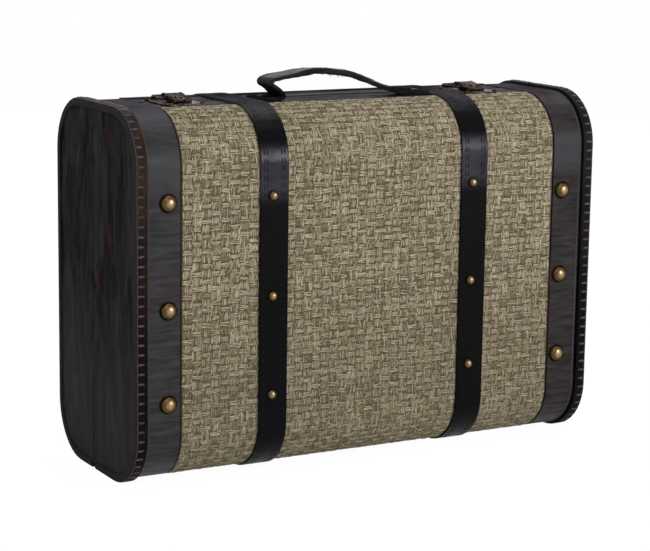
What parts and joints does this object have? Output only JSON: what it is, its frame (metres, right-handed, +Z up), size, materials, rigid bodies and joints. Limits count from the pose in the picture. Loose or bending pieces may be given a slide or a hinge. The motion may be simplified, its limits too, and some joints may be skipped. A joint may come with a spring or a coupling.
{
  "type": "wooden suitcase",
  "caption": "Upright rounded suitcase with a hinged lid, woven cloth sides, leather bands and straps, domed nails, toggle latches and a leather strap handle.",
  "frame": {"origin": "on the ground under the middle of the case, which stands on its hinge side", "axes": "+X along the case's length, +Y from the front half to the lid, +Z up to the handle"},
  "size_m": [0.403, 0.1544, 0.3033],
  "materials": {
    "stained_wood": "dark stained with a soft sheen and maroon wear",
    "band_leather": "charcoal, worn, fine streaks",
    "binding_leather": "purple-brown edge binding with cross stitches",
    "strap_leather": "glossy black with two lines of stitching",
    "trim_leather": "dark with a soft sheen",
    "basket_weave": "coarse khaki basket weave",
    "lining_cloth": "plain matte lining",
    "nail_brass": "aged brass with worn bright tops",
    "latch_bronze": "antique copper-bronze",
    "bail_brass": "bright brass wire",
    "hinge_steel": "antique plated",
    "handle_leather": "grey-black, worn and creased"
  },
  "bodies": {
    "base": {"base_wall": "stained_wood", "base_lining": "lining_cloth", "base_weave_cover": "basket_weave", "base_top_trim": "trim_leather", "base_bottom_trim": "trim_leather", "base_left_end_board": "stained_wood", "base_right_end_board": "stained_wood", "base_left_band": "band_leather", "base_right_band": "band_leather", "base_left_strap": "strap_leather", "base_right_strap": "strap_leather", "base_left_edge_binding": "binding_leather", "base_right_edge_binding": "binding_leather", "left_band_nail_1": "nail_brass", "left_band_nail_2": "nail_brass", "left_band_nail_3": "nail_brass", "left_strap_nail_1": "nail_brass", "left_strap_nail_2": "nail_brass", "left_strap_nail_3": "nail_brass", "right_strap_nail_1": "nail_brass", "right_strap_nail_2": "nail_brass", "right_strap_nail_3": "nail_brass", "right_band_nail_1": "nail_brass", "right_band_nail_2": "nail_brass", "right_band_nail_3": "nail_brass", "handle_left_root": "handle_leather", "handle_right_root": "handle_leather", "left_latch_base": "latch_bronze", "left_latch_pin": "bail_brass", "right_latch_base": "latch_bronze", "right_latch_pin": "bail_brass", "left_hinge_base_leaf": "hinge_steel", "left_hinge_pin": "hinge_steel", "right_hinge_base_leaf": "hinge_steel", "right_hinge_pin": "hinge_steel"},
    "lid": {"lid_wall": "stained_wood", "lid_lining": "lining_cloth", "lid_weave_cover": "basket_weave", "lid_top_trim": "trim_leather", "lid_bottom_trim": "trim_leather", "lid_left_end_board": "stained_wood", "lid_right_end_board": "stained_wood", "lid_left_band": "band_leather", "lid_right_band": "band_leather", "lid_left_strap": "strap_leather", "lid_right_strap": "strap_leather", "lid_left_edge_binding": "binding_leather", "lid_right_edge_binding": "binding_leather", "left_latch_keeper": "latch_bronze", "right_latch_keeper": "latch_bronze", "left_hinge_lid_leaf": "hinge_steel", "right_hinge_lid_leaf": "hinge_steel"},
    "handle": {"handle_grip": "handle_leather"},
    "left_lever": {"left_latch_lever": "latch_bronze"},
    "right_lever": {"right_latch_lever": "latch_bronze"},
    "left_bail": {"left_latch_bail": "bail_brass"},
    "right_bail": {"right_latch_bail": "bail_brass"}
  },
  "joints": [
    {"name": "lid_hinge", "type": "hinge", "parent": "base", "child": "lid", "pos_m": [0, 0.0065, 0.0015], "axis": [-1, 0, 0], "range_deg": [0, 95]},
    {"name": "handle_lean", "type": "hinge", "parent": "base", "child": "handle", "pos_m": [0, -0.01275, 0.2802], "axis": [1, 0, 0], "range_deg": [-32, 20], "stiffness_Nm_per_rad": 0.02, "deforming": ["handle_left_root", "handle_right_root"]},
    {"name": "left_latch_swing", "type": "hinge", "parent": "base", "child": "left_lever", "pos_m": [-0.139, -0.0025, 0.2853], "axis": [-1, 0, 0], "range_deg": [0, 140]},
    {"name": "right_latch_swing", "type": "hinge", "parent": "base", "child": "right_lever", "pos_m": [0.122, -0.0025, 0.2853], "axis": [-1, 0, 0], "range_deg": [0, 140]},
    {"name": "left_bail_swing", "type": "hinge", "parent": "left_lever", "child": "left_bail", "pos_m": [-0.139, -0.00939, 0.28408], "axis": [-1, 0, 0], "range_deg": [-154, 0]},
    {"name": "right_bail_swing", "type": "hinge", "parent": "right_lever", "child": "right_bail", "pos_m": [0.122, -0.00939, 0.28408], "axis": [-1, 0, 0], "range_deg": [-154, 0]}
  ],
  "couplings": [
    {"joint": "left_bail_swing", "follows": "left_latch_swing", "ratio": -1.1},
    {"joint": "right_bail_swing", "follows": "right_latch_swing", "ratio": -1.1}
  ]
}
